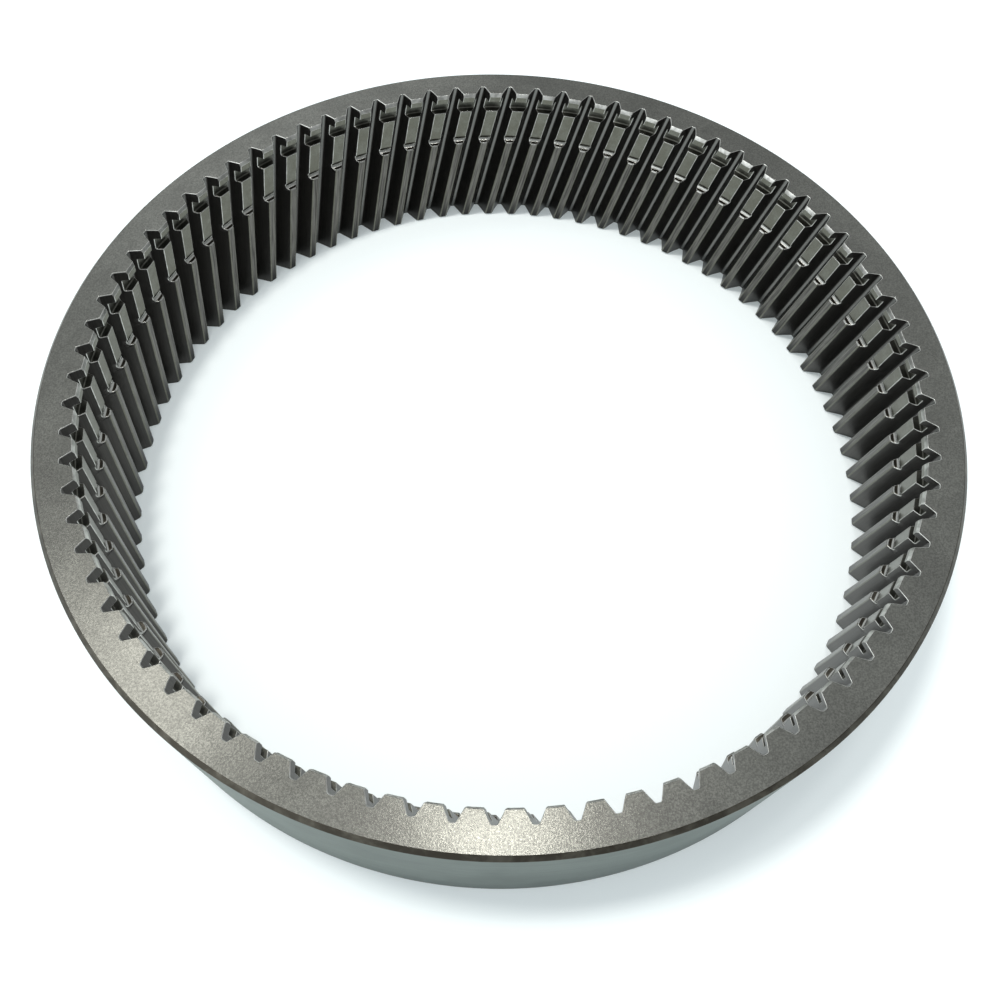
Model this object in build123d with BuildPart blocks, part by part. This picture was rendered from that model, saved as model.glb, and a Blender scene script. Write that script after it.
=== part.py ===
"""Internal helical ring gear: one steel ring, lying flat with its axis along +Z.

Millimetres. The origin is at the centre of the bottom face. The teeth point inwards. From the
top face down, their tips are bored away over a short land, a snap-ring groove and a guide land
that ends on a shoulder, and below the shoulder the teeth stand at full height.
"""
import os
from math import acos, cos, degrees, pi, radians, sin, tan

from build123d import *

# Teeth
tooth_count = 82
normal_module = 3.0
normal_pressure_angle = radians(25)
helix_angle = radians(12)  # left-hand
tip_height = 2.25  # pitch circle to the tooth tips
root_depth = 3.6  # pitch circle to the roots
root_rounding = 0.72  # height of the rounded root between the two flanks
backlash = 0.2  # added to each tooth space, on the pitch circle

# Ring
face_width = 57.0
rim_thickness = 8.15  # roots to the outer wall
top_rim_chamfer = 1.25
bottom_rim_chamfer = 0.6
tip_end_chamfer = 0.6  # on the tooth tips, at the bottom face

# Stepped bore, from the top face down
bore_step = 1.75  # tooth height that the bore takes off
lead_in_width = 0.5
lead_in_length = 1.2
retaining_land_length = 3.3
groove_width = 3.9
groove_depth = 2.25
relief_tool_radius = 1.05  # its circle touches the shoulder
relief_depth = 0.4
shoulder_height = 36.8  # above the bottom face
shoulder_chamfer = 0.4

# Worked out from the sizes above
transverse_module = normal_module / cos(helix_angle)
transverse_pressure_angle = acos(
    cos(helix_angle) / (cos(helix_angle) ** 2 + tan(normal_pressure_angle) ** 2) ** 0.5
)
pitch_radius = tooth_count * transverse_module / 2
base_radius = pitch_radius * cos(transverse_pressure_angle)
tip_radius = pitch_radius - tip_height
root_radius = pitch_radius + root_depth
outer_radius = root_radius + rim_thickness
bore_radius = tip_radius + bore_step
groove_radius = bore_radius + groove_depth
groove_top = face_width - retaining_land_length
groove_bottom = groove_top - groove_width
relief_centre_radius = bore_radius + relief_depth - relief_tool_radius
relief_centre_height = shoulder_height + relief_tool_radius
relief_lip_angle = acos((bore_radius - relief_centre_radius) / relief_tool_radius)
tooth_pitch_angle = radians(360 / tooth_count)
twist_per_mm = tan(helix_angle) / pitch_radius

# Flat sides that stand for the relief's round
relief_sides = 4
relief_side_angle = (relief_lip_angle + pi / 2) / relief_sides

# The tooth-space cutter passes both faces and the tips by the overrun
overrun = 1.0
section_count = 4
section_step = (face_width + 2 * overrun) / (section_count - 1)


def involute(angle):
    """Involute function of a pressure angle: its tangent less the angle itself."""
    return tan(angle) - angle


def space_half_angle(radius):
    """Half the angle of a tooth space at a radius. The space narrows towards its root."""
    at_pitch = tooth_pitch_angle / 4 + backlash / pitch_radius / 2
    pressure_angle = acos(base_radius / radius)
    return at_pitch + involute(transverse_pressure_angle) - involute(pressure_angle)


def flank_point(radius, side):
    """Point on a flank of the tooth space about the X axis; side is 1 or -1."""
    angle = side * space_half_angle(radius)
    return (radius * cos(angle), radius * sin(angle))


def tooth_space_section(height):
    """Section of one tooth space at a height, turned about the axis by its helix, which
    brings it onto the X axis at the top face. Each flank is the arc through three points
    of its involute, and one arc rounds the root between them."""
    start_radius = tip_radius - overrun
    end_radius = root_radius - root_rounding
    middle_radius = (start_radius + end_radius) / 2
    turn = degrees(twist_per_mm * (face_width - height))
    with BuildSketch(Plane.XY.offset(height).rotated((0, 0, turn))) as section:
        with BuildLine():
            for side in (1, -1):
                ThreePointArc(
                    flank_point(start_radius, side),
                    flank_point(middle_radius, side),
                    flank_point(end_radius, side),
                )
            ThreePointArc(
                flank_point(end_radius, -1), (root_radius, 0), flank_point(end_radius, 1)
            )
            Line(flank_point(start_radius, -1), flank_point(start_radius, 1))
        make_face()
    return section.sketch


def relief_point(n):
    """Point n on the relief's circle, as radius and height, from the guide land's lip down to the
    shoulder."""
    angle = relief_lip_angle - n * relief_side_angle
    return (
        relief_centre_radius + relief_tool_radius * cos(angle),
        relief_centre_height + relief_tool_radius * sin(angle),
    )


with BuildPart() as tooth_space:
    loft([tooth_space_section(n * section_step - overrun) for n in range(section_count)])

with BuildPart() as ring_gear:
    with BuildSketch(Plane.XZ):
        with BuildLine():
            Polyline(
                (tip_radius + tip_end_chamfer, 0),
                (outer_radius - bottom_rim_chamfer, 0),
                (outer_radius, bottom_rim_chamfer),
                (outer_radius, face_width - top_rim_chamfer),
                (outer_radius - top_rim_chamfer, face_width),
                (bore_radius + lead_in_width, face_width),
                (bore_radius, face_width - lead_in_length),
                (bore_radius, groove_top),
                (groove_radius, groove_top),
                (groove_radius, groove_bottom),
                (bore_radius, groove_bottom),
                *[relief_point(n) for n in range(relief_sides + 1)],
                (tip_radius + shoulder_chamfer, shoulder_height),
                (tip_radius, shoulder_height - shoulder_chamfer),
                (tip_radius, tip_end_chamfer),
                close=True,
            )
        make_face()
    revolve(axis=Axis.Z)
    with PolarLocations(0, tooth_count):
        add(tooth_space.part, mode=Mode.SUBTRACT)
ring_gear.part.label = "ring_gear"

os.makedirs("parts", exist_ok=True)
export_step(ring_gear.part, "parts/ring_gear.step")
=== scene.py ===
import bmesh
import bpy
import numpy as np
from mathutils import Matrix, Vector


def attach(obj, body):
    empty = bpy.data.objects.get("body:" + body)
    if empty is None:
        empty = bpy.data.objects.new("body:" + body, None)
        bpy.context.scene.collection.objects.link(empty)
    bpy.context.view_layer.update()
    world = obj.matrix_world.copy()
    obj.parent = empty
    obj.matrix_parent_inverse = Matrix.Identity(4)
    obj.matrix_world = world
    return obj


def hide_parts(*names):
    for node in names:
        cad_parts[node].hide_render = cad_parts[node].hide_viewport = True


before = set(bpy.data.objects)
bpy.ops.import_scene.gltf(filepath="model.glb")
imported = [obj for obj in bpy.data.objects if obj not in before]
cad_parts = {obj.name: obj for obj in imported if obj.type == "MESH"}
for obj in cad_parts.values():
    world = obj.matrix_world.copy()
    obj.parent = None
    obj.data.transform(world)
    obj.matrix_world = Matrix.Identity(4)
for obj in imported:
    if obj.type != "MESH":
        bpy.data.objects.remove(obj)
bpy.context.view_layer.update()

# Ring gear: one piece of case-hardened steel, the annulus of a planetary reduction. The blank is
# turned and its faces are ground, 82 left-hand helical teeth are cut on its inside, and their
# upper third is bored back for a hub plate and its snap ring. Every edge is lightly broken.
MM = 0.001
tooth_count = 82
normal_module = 3.0
normal_pressure_angle = np.radians(25)
helix_angle = np.radians(12)
tip_height = 2.25
root_depth = 3.6
backlash = 0.2
face_width = 57.0
rim_thickness = 8.15
top_rim_chamfer = 1.25
bottom_rim_chamfer = 0.6
tip_end_chamfer = 0.6
bore_step = 1.75
lead_in_width = 0.5
lead_in_length = 1.2
retaining_land_length = 3.3
groove_width = 3.9
groove_depth = 2.25
relief_tool_radius = 1.05
relief_depth = 0.4
shoulder_height = 36.8
shoulder_chamfer = 0.4

# Roundings that the tools leave, and the break on the edges of the teeth
edge_break = 0.17
tip_break = 0.35  # on the full-height teeth
sharp_rounding = 0.2
lead_in_rounding = 0.3
groove_corner_rounding = 0.5
relief_rounding = 0.7
rim_rounding = 0.3
root_rounding = 0.5

transverse_module = normal_module / np.cos(helix_angle)
transverse_pressure_angle = np.arctan(np.tan(normal_pressure_angle) / np.cos(helix_angle))
pitch_radius = tooth_count * transverse_module / 2
base_radius = pitch_radius * np.cos(transverse_pressure_angle)
tip_radius = pitch_radius - tip_height
root_radius = pitch_radius + root_depth
outer_radius = root_radius + rim_thickness
bore_radius = tip_radius + bore_step
groove_radius = bore_radius + groove_depth
groove_top = face_width - retaining_land_length
groove_bottom = groove_top - groove_width
pitch_angle = 2 * np.pi / tooth_count
twist = np.tan(helix_angle) / pitch_radius

# Fineness of the mesh
root_steps = 4
flank_steps = 2
land_steps = 2
longest_run = 13.0
arc_step = np.radians(31)
relief_sides = 4
fan = 0.3  # share of a level step of the bore that spreads the rows along the root


def involute(angle):
    """Involute function: the tangent of a pressure angle less the angle."""
    return np.tan(angle) - angle


def flank_slope(radius):
    """Slope of the flank from the radial line: the angle whose cosine is base radius by radius."""
    return np.arccos(base_radius / radius)


def half_space(radius):
    """Half the angle of a tooth space at a radius: a quarter pitch and half the backlash on the
    pitch circle, plus the involute of the slope there, less that of the slope at the radius."""
    at_pitch = pitch_angle / 4 + backlash / pitch_radius / 2
    return at_pitch + involute(transverse_pressure_angle) - involute(flank_slope(radius))


# A rounding joins each flank to the flat of the root: it touches the root circle and the flank,
# which is taken as straight there, through its point one rounding above the root.
start_radius = root_radius - root_rounding
start_angle = half_space(start_radius)
start_slope = flank_slope(start_radius) - start_angle
root_turn = np.pi / 2 - start_slope
half_flat = start_radius * np.sin(start_angle) - (
    root_rounding + (start_radius * (1 - np.cos(start_angle))) * np.sin(start_slope)
) / np.cos(start_slope)
root_turns = np.r_[0, np.linspace(0, root_turn, root_steps)]
root_flat = np.r_[0, np.full(root_steps, half_flat)]


def root_points():
    """Points of half a root, from its middle over the flat and the rounding to the flank: x is
    the root radius less the rounding times (1 - cos turn), y is half the flat plus the rounding
    times sin turn. Returns radius, angle and the unit tangent away from the middle, along the
    radius and across it."""
    x = root_radius - root_rounding * (1 - np.cos(root_turns))
    y = root_flat + root_rounding * np.sin(root_turns)
    angle = np.arctan2(y, x)
    return np.hypot(x, y), angle, -np.sin(root_turns - angle), np.cos(root_turns - angle)


def flank(radius):
    """Points of the flank at each radius, as root_points gives them: the tangent runs to the tip,
    minus the cosine of the slope along the radius and its sine across it."""
    return radius, half_space(radius), -np.cos(flank_slope(radius)), np.sin(flank_slope(radius))


def even_run(start, end):
    """Inner points of a straight run, evenly spaced, no further apart than the longest run."""
    steps = int(np.ceil(np.linalg.norm(end - start) / longest_run))
    return start + np.linspace(0, 1, steps + 1)[1:-1, None] * (end - start)


def rounded_path(corners):
    """Path through (radius, height, rounding) corners: straight runs, with the arc at each inner
    corner that touches both its runs. Returns radius, height and heading at each point."""
    ends = np.array([corner[:2] for corner in corners])
    runs = np.diff(ends, axis=0)
    headings = np.arctan2(runs[:, 1], runs[:, 0])
    path, heading = [ends[:1]], [headings[:1]]
    for i in range(1, len(ends) - 1):
        rounding = corners[i][2]
        turn = (headings[i] - headings[i - 1] + np.pi) % (2 * np.pi) - np.pi
        side = np.sign(turn)
        run = runs[i - 1] / np.linalg.norm(runs[i - 1])
        start = ends[i] - rounding * np.tan(abs(turn) / 2) * run
        centre = start + side * rounding * np.array([-run[1], run[0]])
        steps = int(np.ceil(abs(turn) / arc_step))
        along = headings[i - 1] + np.linspace(0, turn, steps + 1)
        inner = even_run(path[-1][-1], start)
        path += [inner, centre - side * rounding * np.stack([-np.sin(along), np.cos(along)], 1)]
        heading += [np.full(len(inner), headings[i - 1]), along]
    inner = even_run(path[-1][-1], ends[-1])
    path += [inner, ends[-1:]]
    heading += [np.full(len(inner) + 1, headings[-1])]
    path, heading = np.concatenate(path), np.concatenate(heading)
    return path[:, 0], path[:, 1], heading


def relief_corners():
    """Corners of the relief: the lip of the guide land, and a polygon around the circle of the
    round-nosed tool, down to the shoulder that the circle touches. Each of its corners lies at
    the radius divided by the cosine of half a turn."""
    centre_r = bore_radius + relief_depth - relief_tool_radius
    centre_z = shoulder_height + relief_tool_radius
    first = np.arccos((bore_radius - centre_r) / relief_tool_radius)
    turn = (first + np.pi / 2) / relief_sides
    at = first - turn * (np.arange(relief_sides) + 0.5)
    far = relief_tool_radius / np.cos(turn / 2)
    sides = zip(centre_r + far * np.cos(at), centre_z + far * np.sin(at))
    lip = (bore_radius, centre_z + relief_tool_radius * np.sin(first), sharp_rounding)
    return [lip] + [(radius, height, relief_rounding) for radius, height in sides]


# The stepped bore as a path down the teeth, without its first and last points on the faces
bore_corners = [
    (root_radius, face_width, 0),
    (bore_radius + lead_in_width, face_width, lead_in_rounding),
    (bore_radius, face_width - lead_in_length, lead_in_rounding),
    (bore_radius, groove_top, sharp_rounding),
    (groove_radius, groove_top, sharp_rounding),
    (groove_radius, groove_bottom, groove_corner_rounding),
    (bore_radius, groove_bottom, sharp_rounding),
    *relief_corners(),
    (tip_radius + shoulder_chamfer, shoulder_height, sharp_rounding),
    (tip_radius, shoulder_height - shoulder_chamfer, sharp_rounding),
    (tip_radius, tip_end_chamfer, sharp_rounding),
    (tip_radius + tip_end_chamfer, 0, sharp_rounding),
    (root_radius, 0, 0),
]
bore_r, bore_z, bore_heading = (values[1:-1] for values in rounded_path(bore_corners))
bore_z = np.clip(bore_z, 0, face_width)


def face_rows(end_radius):
    """Outline of half a tooth space on a face, from the middle of its root to a radius: the
    root, then the flank by even radii."""
    arc = root_points()
    straight = flank(np.linspace(arc[0][-1], end_radius, flank_steps + 1)[1:-1])
    return [np.concatenate(values) for values in zip(arc, straight)]


def unit(vectors):
    """The vectors, each divided by its length."""
    return vectors / np.linalg.norm(vectors, axis=-1, keepdims=True)


def tooth_edge():
    """Edge between a tooth space's flank and the faces and lands around it, as one row of points
    for each step along it: one on the land, one on the middle of the break and one on the flank.
    The land's and flank's points lie the break's width from the sharp edge, square to it, and the
    middle lies on the arc that touches both surfaces there. Columns are radius, angle, height."""
    top, bottom = face_rows(bore_r[0]), [values[::-1] for values in face_rows(bore_r[-1])]
    side = flank(bore_r)
    radius, angle, along, across = (np.concatenate(v) for v in zip(top, side, bottom))
    height = np.r_[np.full(len(top[0]), face_width), bore_z, np.zeros(len(bottom[0]))]
    heading = np.r_[np.full(len(top[0]), np.pi), bore_heading, np.full(len(bottom[0]), 0.0)]
    travel_r, travel_z = np.cos(heading), np.sin(heading)
    none = np.zeros_like(radius)
    edge = unit(np.stack([travel_r * along, travel_r * across, travel_z * along], 1))
    land_normal = np.stack([travel_z, none, -travel_r], 1)
    flank_normal = np.stack([-across, along, none], 1)
    on_land = unit(np.cross(land_normal, edge))
    on_land *= -np.sign((on_land * flank_normal).sum(1, keepdims=True))
    on_flank = unit(np.cross(flank_normal, edge))
    on_flank *= -np.sign((on_flank * land_normal).sum(1, keepdims=True))
    half = np.arccos(np.clip((on_land * on_flank).sum(1, keepdims=True), -1, 1)) / 2
    middle = unit(on_land + on_flank) * (1 / np.cos(half) - np.tan(half))
    width = np.full((len(radius), 1, 1), edge_break)
    width[len(top[0]):-len(bottom[0])][bore_z < shoulder_height] = tip_break
    offsets = width * np.stack([on_land, middle, on_flank], 1)
    offsets[..., 1] /= radius[:, None]
    rows = np.stack([radius, angle, height], 1)[:, None] + offsets
    rows[..., 2] = np.clip(rows[..., 2], 0, face_width)
    return rows, len(top[0])


def between(start, end, steps):
    """Rows of points from start to end, evenly spaced along each row."""
    share = np.linspace(0, 1, steps + 1)[:, None]
    return start[:, None] + share * (end - start)[:, None]


edge_rows, top_rows = tooth_edge()
side_rows = slice(top_rows, top_rows + len(bore_r))
bottom_rows = slice(side_rows.stop, len(edge_rows))


def land_patch():
    """Half a tooth's land and faces: each row runs from the edge's land point to the middle of
    the tooth. On the faces the row's far end moves out by up to the break's width at the root,
    so that the outermost row is a circle."""
    radius = np.r_[face_rows(bore_r[0])[0], bore_r, face_rows(bore_r[-1])[0][::-1]]
    height, reach = np.zeros((2, len(radius)))
    height[:top_rows] = face_width
    height[side_rows] = bore_z
    reach[:top_rows] = (radius[:top_rows] - bore_r[0]) / (root_radius - bore_r[0])
    reach[bottom_rows] = (radius[bottom_rows] - bore_r[-1]) / (root_radius - bore_r[-1])
    half_pitch = np.full_like(radius, pitch_angle / 2)
    middle = np.stack([radius + edge_break * reach, half_pitch, height], 1)
    return between(edge_rows[:, 0], middle, land_steps)


def flank_patch():
    """Half a tooth space below its edge: each row runs from the edge's flank point down the flank
    by even radii and round the root by even turns. Heights run evenly along the row to its end
    in the root, and these ends are spread by the length of the bore's path."""
    start = edge_rows[side_rows, 2]
    down, across = np.abs(np.diff(start[:, 2])), np.abs(np.diff(start[:, 0]))
    steps = down + fan * np.maximum(across - down, 0)
    travelled = np.r_[0, np.cumsum(steps)]
    root_height = start[0, 2] + (start[-1, 2] - start[0, 2]) * travelled / travelled[-1]
    arc_radius, arc_angle = (values[::-1] for values in root_points()[:2])
    share = np.linspace(0, 1, flank_steps + 1)[:-1]
    radius = start[:, :1] + share * (arc_radius[0] - start[:, :1])
    angle = half_space(radius)
    angle[:, 0] = start[:, 1]
    count = len(start)
    radius = np.concatenate([radius, np.tile(arc_radius, (count, 1))], 1)
    angle = np.concatenate([angle, np.tile(arc_angle, (count, 1))], 1)
    length = np.hypot(np.diff(radius, axis=1), radius[:, 1:] * np.diff(angle, axis=1))
    run = np.concatenate([np.zeros((count, 1)), np.cumsum(length, axis=1)], 1)
    run /= run[:, -1:]
    height = start[:, 2:] + run * (root_height[:, None] - start[:, 2:])
    return np.stack([radius, angle, height], -1)


def rim_rows():
    """Ring outside the teeth, from the top face's root circle over the outer wall to the bottom
    face's root circle, as rows around the axis. Columns are radius, angle and height. The last
    row turns with the helix, to meet the bottom end of the teeth."""
    inner = root_radius + edge_break
    radius, height = rounded_path([
        (inner, face_width, 0),
        (outer_radius - top_rim_chamfer, face_width, rim_rounding),
        (outer_radius, face_width - top_rim_chamfer, rim_rounding),
        (outer_radius, bottom_rim_chamfer, rim_rounding),
        (outer_radius - bottom_rim_chamfer, 0, rim_rounding),
        (inner, 0, 0),
    ])[:2]
    columns = 2 * land_steps * tooth_count
    angle = np.tile(2 * np.pi * np.arange(columns + 1) / columns, (len(radius), 1))
    angle[:-1] -= twist * (face_width - height[:-1, None])
    return np.stack(np.broadcast_arrays(radius[:, None], angle, height[:, None]), -1)


def in_place(points):
    """Points in metres from (radius, angle, height): turned about the axis by the twist times the
    depth under the top face."""
    angle = points[..., 1] + twist * (face_width - points[..., 2])
    radius, height = points[..., 0], np.maximum(points[..., 2], 0)
    return MM * np.stack([radius * np.cos(angle), radius * np.sin(angle), height], -1)


def around(patch):
    """The patch and its mirror image about the middle of the tooth space, at every tooth."""
    both = np.stack([patch, patch * (1, -1, 1)])
    turned = np.tile(both, (tooth_count, 1, 1, 1))
    turned[..., 1] += pitch_angle * np.repeat(np.arange(tooth_count), 2)[:, None, None]
    return turned


def grid_faces(shape, first):
    """Four-cornered faces between neighbouring points of stacked grids."""
    index = first + np.arange(np.prod(shape)).reshape(shape)
    corners = [index[:, :-1, :-1], index[:, 1:, :-1], index[:, 1:, 1:], index[:, :-1, 1:]]
    return np.stack(corners, -1).reshape(-1, 4)


# Slots of the finishes, in the order in which their materials are made further down
FACE, WALL, LAND, TIP, FLANK, ROOT, BREAK, CHAMFER, GROOVE, SCALE_AND_SHADE = range(10)

merge_distance = 0.002 * MM


def ring_mesh(patches):
    """Mesh of (grids, finish) patches, where finish is a column or row of slot numbers for the
    faces of a grid. Doubled points are merged, faces are turned outwards, and the edges between a
    flat face and another finish are made sharp, which keeps the flat faces flat."""
    points, faces, finishes, first = [], [], [], 0
    for grids, finish in patches:
        faces.append(grid_faces(grids.shape[:3], first))
        count, rows, columns = grids.shape[:3]
        finishes.append(np.broadcast_to(finish, (count, rows - 1, columns - 1)).reshape(-1))
        points.append(in_place(grids).reshape(-1, 3))
        first += points[-1].shape[0]
    mesh = bpy.data.meshes.new("ring_gear_finished")
    mesh.from_pydata(np.concatenate(points), [], np.concatenate(faces))
    mesh.polygons.foreach_set("material_index", np.concatenate(finishes).astype(np.int32))
    merged = bmesh.new()
    merged.from_mesh(mesh)
    bmesh.ops.remove_doubles(merged, verts=merged.verts, dist=merge_distance)
    bmesh.ops.recalc_face_normals(merged, faces=merged.faces)
    merged.to_mesh(mesh)
    merged.free()
    mesh.polygons.foreach_set("use_smooth", np.ones(len(mesh.polygons), bool))
    slot, sides = np.zeros((2, len(mesh.polygons)), np.int32)
    edge = np.zeros(len(mesh.loops), np.int32)
    mesh.polygons.foreach_get("material_index", slot)
    mesh.polygons.foreach_get("loop_total", sides)
    mesh.loops.foreach_get("edge_index", edge)
    flat_sides = np.bincount(edge, np.repeat(slot == FACE, sides), len(mesh.edges))
    mesh.edges.foreach_set("use_edge_sharp", flat_sides == 1)
    return mesh


land_rows, space_rows, rim = land_patch(), flank_patch(), rim_rows()

# Where the bore's finishes change: an allowance beside an edge, for the points of its rounding,
# and tilts of a step that faces the axis towards the bottom face (minus) or the top face
beside = 0.1
# the bright edge under the top face is a painted glint
glint_depth = 0.2  # of the bright edge under the top face
slightly_down, slightly_up, nearly_level = np.radians([-5, 15, 65])


def bore_finish():
    """Slot of each step of the stepped bore, from its place and from how far it faces upwards."""
    upwards = -np.pi / 2 - np.arctan2(np.diff(bore_z), np.diff(bore_r))
    middle_r, middle_z = (bore_r[1:] + bore_r[:-1]) / 2, (bore_z[1:] + bore_z[:-1]) / 2
    bored = middle_z > shoulder_height - beside
    finish = np.where(bored, LAND, TIP)
    # the groove's dark colour is painted shade of the recess
    finish[(middle_r > bore_radius + beside / 2) & (middle_z < groove_top + beside)] = GROOVE
    relief = bored & (middle_z < shoulder_height + 2 * relief_tool_radius)
    # the relief's steps that face down or lie level, the shoulder among them, get dark brown:
    # painted shade
    finish[relief & ((upwards < slightly_down) | (upwards > nearly_level))] = SCALE_AND_SHADE
    # steps that slant upwards get the bright chamfer colour; on the relief it is a painted
    # highlight
    slanted = (upwards > slightly_up) & (upwards < nearly_level)
    finish[slanted & (middle_r < bore_radius + lead_in_width + beside)] = CHAMFER
    # the rounding just under the top face gets the bright edge colour: a painted glint
    finish[1:1 + np.count_nonzero(bore_z > face_width - glint_depth)] = BREAK
    finish[[0, -1]] = FACE
    return finish


bore_steps = slice(side_rows.start, side_rows.stop - 1)
full_height = bore_z[1:] < shoulder_height - shoulder_chamfer + beside
land_finish = np.full((len(land_rows) - 1, 1), FACE)
land_finish[bore_steps, 0] = bore_finish()
# the edge breaks get the bright edge colour, a painted glint, except along the full-height teeth
edge_finish = np.full((len(edge_rows) - 1, 1), BREAK)
edge_finish[bore_steps, 0][full_height] = LAND
space_finish = np.full((1, space_rows.shape[1] - 1), FLANK)
# the flat of the roots gets a paler colour: a painted highlight
space_finish[0, -1] = ROOT
rim_finish = np.full((len(rim) - 1, 1), SCALE_AND_SHADE)
rim_finish[[0, -1]] = FACE
rim_finish[1:-1, 0][np.diff(rim[1:-1, 0, 2]) < -top_rim_chamfer] = WALL
ring_gear = bpy.data.objects.new("ring_gear_finished", ring_mesh([
    (around(land_rows), land_finish),
    (around(edge_rows), edge_finish),
    (around(space_rows), space_finish),
    (rim[None], rim_finish),
]))
bpy.context.collection.objects.link(ring_gear)
even_shading = ring_gear.modifiers.new("even_shading", "WEIGHTED_NORMAL")
even_shading.weight = 100
even_shading.keep_sharp = True


def effect_group(name, inputs, outputs):
    """Empty node group with named number inputs, each with its value, and named outputs. Returns
    the group, its input node and its output node."""
    group = bpy.data.node_groups.new(name, "ShaderNodeTree")
    for title, value in inputs.items():
        socket = group.interface.new_socket(title, in_out="INPUT", socket_type="NodeSocketFloat")
        socket.default_value = value
    for title in outputs:
        group.interface.new_socket(title, in_out="OUTPUT", socket_type="NodeSocketFloat")
    return group, group.nodes.new("NodeGroupInput"), group.nodes.new("NodeGroupOutput")


def add_node(tree, kind, settings=None, **values):
    """Node of a kind in a tree, with its settings and its input values or links by name, where an
    underscore in a name stands for a blank."""
    node = tree.nodes.new(kind)
    for key, value in (settings or {}).items():
        setattr(node, key, value)
    for key, value in values.items():
        socket = next(s for s in node.inputs if s.enabled and s.name == key.replace("_", " "))
        if isinstance(value, bpy.types.NodeSocket):
            tree.links.new(value, socket)
        else:
            socket.default_value = value
    return node


def calculate(tree, operation, first, second):
    """Result of a calculation with two numbers or sockets."""
    node = tree.nodes.new("ShaderNodeMath")
    node.operation = operation
    for socket, value in zip(node.inputs, (first, second)):
        if isinstance(value, bpy.types.NodeSocket):
            tree.links.new(value, socket)
        else:
            socket.default_value = value
    return node.outputs[0]


def soft_step(tree, value, start, full, height=1.0):
    """0 where the value is under start, the height where it is over full, and a smooth rise
    between them."""
    node = add_node(tree, "ShaderNodeMapRange", {"interpolation_type": "SMOOTHSTEP"}, Value=value,
                    From_Min=start, From_Max=full, To_Max=height)
    return node.outputs["Result"]


def object_position(tree):
    """Position on the ring in metres."""
    return tree.nodes.new("ShaderNodeTexCoord").outputs["Object"]


def make_grain():
    """Fine even grain, as a ground or blasted skin has it. Size is the length of a grain in
    metres; Value lies between 0 and 1 around a half."""
    group, given, result = effect_group("grain", {"Size": 0.0005}, ["Value"])
    scale = calculate(group, "DIVIDE", 1.0, given.outputs["Size"])
    noise = add_node(group, "ShaderNodeTexNoise", Vector=object_position(group), Scale=scale,
                     Detail=1.5, Roughness=0.6)
    group.links.new(noise.outputs["Fac"], result.inputs["Value"])
    return group


def make_stains():
    """Soft uneven patches, Size metres across: 0 where the noise is under Start, 1 where it is
    over End."""
    group, given, result = effect_group(
        "stains", {"Size": 0.02, "Start": 0.4, "End": 0.6}, ["Mask"])
    scale = calculate(group, "DIVIDE", 1.0, given.outputs["Size"])
    noise = add_node(group, "ShaderNodeTexNoise", Vector=object_position(group), Scale=scale,
                     Detail=4.0, Roughness=0.62, Distortion=0.4)
    mask = soft_step(group, noise.outputs["Fac"], given.outputs["Start"], given.outputs["End"])
    group.links.new(mask, result.inputs["Mask"])
    return group


def make_tool_marks():
    """Fine lines that a tool leaves. Across and Height are the lengths of the marks in metres,
    level and upright; with Helix 1 they lean with the teeth, with 0 they stand upright."""
    group, given, result = effect_group(
        "tool_marks", {"Across": 0.02, "Height": 0.0004, "Helix": 0.0}, ["Value"])
    place = add_node(group, "ShaderNodeSeparateXYZ", Vector=object_position(group))
    depth = calculate(group, "SUBTRACT", place.outputs["Z"], face_width * MM)
    lean = calculate(group, "MULTIPLY", given.outputs["Helix"], twist / MM)
    turn = calculate(group, "MULTIPLY", depth, lean)
    turned = add_node(group, "ShaderNodeVectorRotate", {"rotation_type": "Z_AXIS"},
                      Vector=object_position(group), Angle=turn)
    parts = add_node(group, "ShaderNodeSeparateXYZ", Vector=turned.outputs["Vector"])
    stretched = add_node(group, "ShaderNodeCombineXYZ",
                         X=calculate(group, "DIVIDE", parts.outputs["X"], given.outputs["Across"]),
                         Y=calculate(group, "DIVIDE", parts.outputs["Y"], given.outputs["Across"]),
                         Z=calculate(group, "DIVIDE", parts.outputs["Z"], given.outputs["Height"]))
    noise = add_node(group, "ShaderNodeTexNoise", Vector=stretched.outputs["Vector"], Scale=1.0,
                     Detail=2.0, Roughness=0.6)
    group.links.new(noise.outputs["Fac"], result.inputs["Value"])
    return group


def make_height_fade():
    """Mask by height: 0 under Low and 1 over High, both in metres."""
    group, given, result = effect_group("height_fade", {"Low": 0.0, "High": 0.01}, ["Mask"])
    place = add_node(group, "ShaderNodeSeparateXYZ", Vector=object_position(group))
    mask = soft_step(group, place.outputs["Z"], given.outputs["Low"], given.outputs["High"])
    group.links.new(mask, result.inputs["Mask"])
    return group


grain, stains = make_grain(), make_stains()
tool_marks, height_fade = make_tool_marks(), make_height_fade()


def effect(tree, group, **values):
    """Output of an effect group placed in a material with its own values."""
    node = tree.nodes.new("ShaderNodeGroup")
    node.node_tree = group
    for key, value in values.items():
        node.inputs[key].default_value = value
    return node.outputs[0]


def blend(tree, share, first, second):
    """Colour between two colours or sockets, by a share."""
    node = tree.nodes.new("ShaderNodeMix")
    node.data_type = "RGBA"
    tree.links.new(share, node.inputs["Factor"])
    for socket, value in zip((node.inputs[6], node.inputs[7]), (first, second)):
        if isinstance(value, bpy.types.NodeSocket):
            tree.links.new(value, socket)
        else:
            socket.default_value = (*value, 1)
    return node.outputs[2]


def spread(tree, value, low, high, start=0.0, end=1.0):
    """Value mapped evenly from low..high to start..end, and held at both ends."""
    return add_node(tree, "ShaderNodeMapRange", Value=value, From_Min=low, From_Max=high,
                    To_Min=start, To_Max=end).outputs["Result"]


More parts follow.
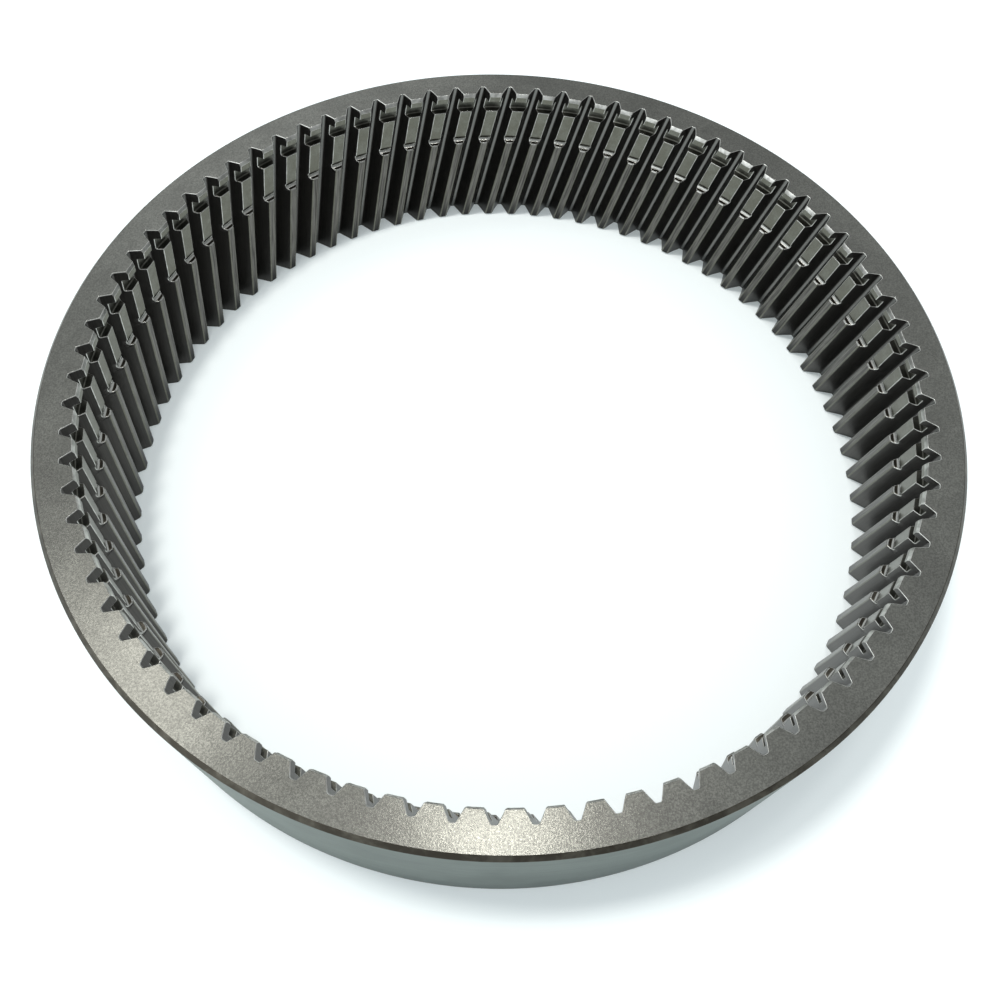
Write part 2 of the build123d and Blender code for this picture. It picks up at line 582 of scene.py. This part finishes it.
def steel(name, roughness):
    """Bare steel without its colour. Returns the node tree and its shader."""
    material = bpy.data.materials.new(name)
    material.use_nodes = True
    shader = material.node_tree.nodes["Principled BSDF"]
    shader.inputs["Metallic"].default_value = 1
    shader.inputs["Roughness"].default_value = roughness
    ring_gear.data.materials.append(material)
    return material.node_tree, shader


def bump(tree, shader, height, strength, distance):
    """Links a relief to the shader, from a height between 0 and 1 over a distance in metres."""
    node = add_node(tree, "ShaderNodeBump", Height=height, Strength=strength, Distance=distance)
    tree.links.new(node.outputs["Normal"], shader.inputs["Normal"])


def ground_face():
    """Ground faces: fine grain and soft stains, with a dull sheen."""
    tree, shader = steel("ground_face", roughness=0.255)
    skin = effect(tree, grain, Size=0.00045)
    patches = effect(tree, stains, Size=0.018, Start=0.35, End=0.68)
    plain = blend(tree, patches, (0.164, 0.164, 0.149), (0.203, 0.203, 0.184))
    specks = spread(tree, skin, low=0.36, high=0.64, start=0.0, end=0.5)
    colour = blend(tree, specks, plain, (0.06, 0.06, 0.055))
    tree.links.new(colour, shader.inputs["Base Color"])
    bump(tree, shader, skin, strength=0.24, distance=0.00006)


def turned_wall():
    """Turned outer wall: fine level lines, darker handling marks and a few scratches."""
    tree, shader = steel("turned_wall", roughness=0.38)
    lines = effect(tree, tool_marks, Across=0.03, Height=0.0005)
    lines = spread(tree, lines, low=0.36, high=0.64)
    patches = effect(tree, stains, Size=0.03, Start=0.42, End=0.68)
    plain = blend(tree, lines, (0.125, 0.139, 0.134), (0.18, 0.197, 0.19))
    plain = blend(tree, patches, plain, (0.115, 0.128, 0.123))
    scratches = effect(tree, tool_marks, Across=0.008, Height=0.001)
    scratches = spread(tree, scratches, low=0.69, high=0.72, start=0.0, end=0.7)
    colour = blend(tree, scratches, plain, (0.04, 0.043, 0.042))
    tree.links.new(colour, shader.inputs["Base Color"])
    bump(tree, shader, lines, strength=0.12, distance=0.00005)
    shader.inputs["Specular Tint"].default_value = (0.66, 0.70, 0.68, 1)


def bored_land():
    """Bored lands, and the edges of the full-height teeth: olive, speckled."""
    tree, shader = steel("bored_land", roughness=0.3)
    skin = effect(tree, grain, Size=0.0006)
    patches = effect(tree, stains, Size=0.004, Start=0.4, End=0.65)
    plain = blend(tree, patches, (0.136, 0.134, 0.111), (0.165, 0.165, 0.142))
    specks = spread(tree, skin, low=0.35, high=0.65, start=0.0, end=0.4)
    colour = blend(tree, specks, plain, (0.09, 0.09, 0.075))
    tree.links.new(colour, shader.inputs["Base Color"])


def tooth_tip():
    """Full-height tooth tips: streaks along the tooth, darker towards the bottom face."""
    tree, shader = steel("tooth_tip", roughness=0.33)
    lines = effect(tree, tool_marks, Across=0.0005, Height=0.012, Helix=1.0)
    lines = spread(tree, lines, low=0.36, high=0.64)
    plain = blend(tree, lines, (0.06, 0.057, 0.053), (0.162, 0.156, 0.143))
    # 1 above 12 mm and 0 at the bottom face, so the tips get darker towards the bottom
    above_bottom = effect(tree, height_fade, Low=0.0, High=0.012)
    colour = blend(tree, above_bottom, (0.03, 0.03, 0.03), plain)
    tree.links.new(colour, shader.inputs["Base Color"])


def hobbed_flank_painted_shade():
    """Cut flanks: dark as painted shade of the tooth spaces, with streaks along the tooth."""
    tree, shader = steel("hobbed_flank_painted_shade", roughness=0.36)
    lines = effect(tree, tool_marks, Across=0.0004, Height=0.02, Helix=1.0)
    # dark colour: painted shade of the tooth spaces
    colour = blend(tree, lines, (0.053, 0.051, 0.049), (0.10, 0.096, 0.09))
    tree.links.new(colour, shader.inputs["Base Color"])


def root_floor_painted_highlight():
    """Flat of the roots: paler as a painted highlight, with streaks along the tooth."""
    tree, shader = steel("root_floor_painted_highlight", roughness=0.3)
    lines = effect(tree, tool_marks, Across=0.0006, Height=0.01, Helix=1.0)
    # paler colour: painted highlight along the roots
    colour = blend(tree, lines, (0.11, 0.11, 0.105), (0.21, 0.21, 0.20))
    tree.links.new(colour, shader.inputs["Base Color"])


def broken_edge_painted_glint():
    """Rounded edges of the top face, the bored lands and the bottom face: a painted glint."""
    tree, shader = steel("broken_edge_painted_glint", roughness=0.3)
    glint_patches = effect(tree, stains, Size=0.003, Start=0.35, End=0.65)
    # bright colour: painted glint of the lamps on the roundings
    colour = blend(tree, glint_patches, (0.34, 0.34, 0.32), (0.60, 0.60, 0.57))
    tree.links.new(colour, shader.inputs["Base Color"])
    shader.inputs["Specular Tint"].default_value = (0.25, 0.25, 0.24, 1)


def bore_chamfer_and_painted_highlight():
    """Chamfers and rounded edges of the bore that face upwards: bright, with level lines."""
    tree, shader = steel("bore_chamfer_and_painted_highlight", roughness=0.25)
    lines = effect(tree, tool_marks, Across=0.006, Height=0.0003)
    # bright colour; on the relief's steps that slant upwards it is a painted highlight
    colour = blend(tree, lines, (0.28, 0.28, 0.262), (0.38, 0.38, 0.36))
    tree.links.new(colour, shader.inputs["Base Color"])
    shader.inputs["Specular Tint"].default_value = (0.08, 0.08, 0.075, 1)


def groove_painted_shade():
    """Snap-ring groove: dark, a painted shade of the recess."""
    tree, shader = steel("groove_painted_shade", roughness=0.4)
    patches = effect(tree, stains, Size=0.003, Start=0.4, End=0.65)
    # dark colour: painted shade of the groove
    colour = blend(tree, patches, (0.07, 0.07, 0.06), (0.11, 0.11, 0.095))
    tree.links.new(colour, shader.inputs["Base Color"])


def brown_scale_and_painted_shade():
    """Rim chamfers: brown hardening scale; relief inside and shoulder: brown as painted shade."""
    tree, shader = steel("brown_scale_and_painted_shade", roughness=0.35)
    patches = effect(tree, stains, Size=0.006, Start=0.4, End=0.65)
    # dark brown: hardening scale on the rim chamfers, painted shade in the relief and on the
    # shoulder
    colour = blend(tree, patches, (0.05, 0.045, 0.036), (0.095, 0.088, 0.072))
    tree.links.new(colour, shader.inputs["Base Color"])


for make_finish in (ground_face, turned_wall, bored_land, tooth_tip, hobbed_flank_painted_shade, root_floor_painted_highlight,
                    broken_edge_painted_glint, bore_chamfer_and_painted_highlight, groove_painted_shade, brown_scale_and_painted_shade):
    make_finish()

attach(ring_gear, "root")
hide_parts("ring_gear")

# Floor: a plain white table. It reflects diffusely and keeps the ring's shadow. A part of its
# white is glow that only the camera and the reflections see.
floor_size = 12.0
floor_gap = 0.00002  # keeps it clear of the ring's bottom face
floor_glow = 0.20


def seen_rays(tree):
    """Two numbers for a ray: 1 if it comes straight from the camera, and 1 if it comes from the
    camera, a reflection or glass, so that what it meets is seen and not only gives light."""
    path = tree.nodes.new("ShaderNodeLightPath")
    from_camera = path.outputs["Is Camera Ray"]
    seen = calculate(tree, "ADD", from_camera, path.outputs["Is Glossy Ray"])
    return from_camera, calculate(tree, "ADD", seen, path.outputs["Is Transmission Ray"])


half = floor_size / 2
floor_corners = [(-half, -half, 0), (half, -half, 0), (half, half, 0), (-half, half, 0)]
floor_mesh = bpy.data.meshes.new("floor")
floor_mesh.from_pydata(floor_corners, [], [(0, 1, 2, 3)])
floor = bpy.data.objects.new("floor", floor_mesh)
bpy.context.collection.objects.link(floor)
floor.location.z = -floor_gap
table = bpy.data.materials.new("white_table")
table.use_nodes = True
tree = table.node_tree
shader = tree.nodes["Principled BSDF"]
shader.inputs["Base Color"].default_value = (0.74, 0.785, 0.80, 1)
shader.inputs["Roughness"].default_value = 1
shader.inputs["Specular IOR Level"].default_value = 0
shader.inputs["Emission Color"].default_value = (0.90, 1.0, 1.0, 1)
glow = calculate(tree, "MULTIPLY", seen_rays(tree)[1], floor_glow)
tree.links.new(glow, shader.inputs["Emission Strength"])
floor_mesh.materials.append(table)

# Room: even light, with brighter and dimmer parts that only the steel's reflections show. Each
# part has a direction, the nearness to it (the cosine of the angle) where its change starts and
# where it is full, and the change.
room_level = 0.9
backdrop_level = 1.07  # the part that the camera sees, which is white
room_parts = [
    ((-0.785, -0.453, 0.423), 0.72, 0.95, 1.5),  # low window on the left
    ((0.814, -0.470, 0.342), 0.4, 0.9, -0.35),  # dim corner in front, on the right
    ((-0.25, 0.74, 0.62), 0.955, 0.985, 0.45),  # pale wall behind
    ((0.06, 0.78, 0.62), 0.965, 0.99, -0.25),  # dim part of that wall
]
world = bpy.data.worlds.new("studio")
bpy.context.scene.world = world
world.use_nodes = True
tree = world.node_tree
ray_direction = tree.nodes.new("ShaderNodeTexCoord").outputs["Generated"]
from_camera, seen = seen_rays(tree)
level = room_level
for direction, start, full, change in room_parts:
    nearness = tree.nodes.new("ShaderNodeVectorMath")
    nearness.operation = "DOT_PRODUCT"
    nearness.inputs[1].default_value = direction
    tree.links.new(ray_direction, nearness.inputs[0])
    part = soft_step(tree, nearness.outputs["Value"], start, full, change)
    level = calculate(tree, "ADD", level, calculate(tree, "MULTIPLY", seen, part))
others = calculate(tree, "SUBTRACT", 1.0, from_camera)
backdrop = calculate(tree, "MULTIPLY", from_camera, backdrop_level)
level = calculate(tree, "ADD", calculate(tree, "MULTIPLY", level, others), backdrop)
sky = tree.nodes["Background"]
sky.inputs["Color"].default_value = (0.94, 0.98, 1.0, 1)
tree.links.new(level, sky.inputs["Strength"])


def lamp(name, direction, distance, size, share):
    """Round soft lamp towards the ring, from a direction. Share is the brightness that it alone
    gives a white floor under it."""
    towards = Vector(direction).normalized()
    light = bpy.data.lights.new(name, "AREA")
    light.shape = "DISK"
    light.size = size
    light.energy = share * (np.pi * distance) ** 2 / towards.z
    light.color = (1.0, 0.98, 0.93)
    placed = bpy.data.objects.new(name, light)
    bpy.context.collection.objects.link(placed)
    placed.location = towards * distance
    placed.rotation_euler = towards.to_track_quat("Z", "Y").to_euler()
    return placed


lamp("ceiling_lamp", (0.015, 0.06, 1.0), distance=1.5, size=0.14, share=0.085)
lamp("side_lamp", (-0.41, 0.215, 1.0), distance=1.7, size=0.34, share=0.062)
left_lamp = lamp("left_lamp", (-0.28, 0.0, 1.2), distance=1.25, size=0.16, share=0.47)
left_lamp.visible_glossy = False  # it only lights the floor

# Camera: matched to the photo from the ring's circles and tooth spaces. Its distances were
# measured in outer radii, and it aims at a point on the plane of the top face.
fitted_radius = 137.5 * MM
camera_tilt = np.radians(61.53)  # above the floor
camera_roll = np.radians(2.865)
camera_turn = np.radians(0.78)  # about the ring's axis
camera_distance = 1.8963 * fitted_radius
camera_aim = np.array([0.0054, -0.3106, 0]) * fitted_radius
focal_length = 33.69
back = np.array([0, -np.cos(camera_tilt), np.sin(camera_tilt)])
right = np.array([1.0, 0, 0])
up = np.cross(back, right)
axes = np.stack([np.cos(camera_roll) * right + np.sin(camera_roll) * up,
                 -np.sin(camera_roll) * right + np.cos(camera_roll) * up, back], 1)
place = camera_aim + back * camera_distance + (0, 0, face_width * MM)
camera_data = bpy.data.cameras.new("camera")
camera_data.lens = focal_length
camera_data.sensor_width = 36
camera_data.clip_start = 0.01
camera = bpy.data.objects.new("camera", camera_data)
bpy.context.collection.objects.link(camera)
pose = Matrix([[*axes[row], place[row]] for row in range(3)] + [[0, 0, 0, 1]])
camera.matrix_world = Matrix.Rotation(camera_turn, 4, "Z") @ pose
bpy.context.scene.camera = camera
bpy.context.scene.view_settings.view_transform = "Standard"
